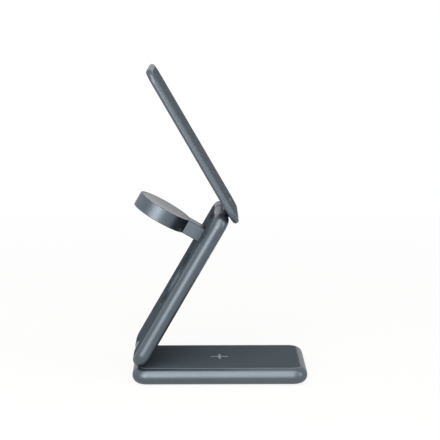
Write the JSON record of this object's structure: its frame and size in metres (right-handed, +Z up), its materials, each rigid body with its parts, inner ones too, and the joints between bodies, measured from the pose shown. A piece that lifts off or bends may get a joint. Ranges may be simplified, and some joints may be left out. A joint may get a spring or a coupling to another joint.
{
  "type": "folding wireless charging stand",
  "caption": "Folding desk charger with a coil base, a hinged arm, a tilting phone plate with a magnet ring and a fold-out watch puck.",
  "frame": {"origin": "under the middle of the base, on the surface that its foot pad stands on", "axes": "+X along the base towards the side that the phone faces, +Y across the width, +Z up"},
  "size_m": [0.106, 0.066, 0.1898],
  "materials": {
    "housing": "satin blue-grey",
    "panel": "soft matte",
    "foot_rubber": "matte",
    "copper_winding": "enamelled copper",
    "ferrite": "sintered",
    "inner_plastic": "moulded",
    "circuit_board": "solder mask",
    "steel": "turned",
    "hinge_metal": "satin blue-grey",
    "light_lens": "frosted",
    "magnet": "nickel plated",
    "puck_metal": "satin blue-grey",
    "puck_face": "satin grey"
  },
  "bodies": {
    "base": {"base_housing": "housing", "base_top_panel": "panel", "foot_pad": "foot_rubber", "base_coil": "copper_winding", "base_coil_shield": "ferrite", "base_coil_tray": "inner_plastic", "charger_board": "circuit_board", "board_screws": "steel", "board_components": "inner_plastic", "inlet_shell": "steel", "inlet_tongue": "inner_plastic", "lower_hinge_knuckle": "hinge_metal", "lower_hinge_screws": "steel"},
    "arm": {"arm_housing": "housing", "arm_cover": "panel", "arm_harness": "copper_winding", "lower_hinge_pin": "steel", "upper_hinge_pin": "steel", "puck_hinge_pin": "steel", "lower_hinge_washers": "steel", "upper_hinge_washers": "steel", "puck_hinge_washers": "steel"},
    "phone_plate": {"plate_housing": "housing", "plate_face_panel": "panel", "charge_light": "light_lens", "upper_hinge_knuckle": "hinge_metal", "upper_hinge_rivets": "steel", "plate_coil_shield": "ferrite", "plate_coil": "copper_winding", "magnet_ring": "magnet"},
    "watch_puck": {"puck_housing": "puck_metal", "puck_face": "puck_face", "puck_board": "circuit_board", "puck_coil_shield": "ferrite", "puck_magnet": "magnet", "puck_coil": "copper_winding"}
  },
  "joints": [
    {"name": "arm_fold", "type": "hinge", "parent": "base", "child": "arm", "pos_m": [-0.0481, 0, 0.01505], "axis": [0, 1, 0], "range_deg": [0, 60]},
    {"name": "plate_fold", "type": "hinge", "parent": "arm", "child": "phone_plate", "pos_m": [0.0008, 0, 0.09975], "axis": [0, -1, 0], "range_deg": [0, 120]},
    {"name": "puck_fold", "type": "hinge", "parent": "arm", "child": "watch_puck", "pos_m": [-0.00743, 0, 0.0855], "axis": [0, -1, 0], "range_deg": [0, 90]}
  ],
  "couplings": [
    {"joint": "plate_fold", "follows": "arm_fold", "ratio": 2},
    {"joint": "puck_fold", "follows": "arm_fold", "ratio": 1.5}
  ]
}
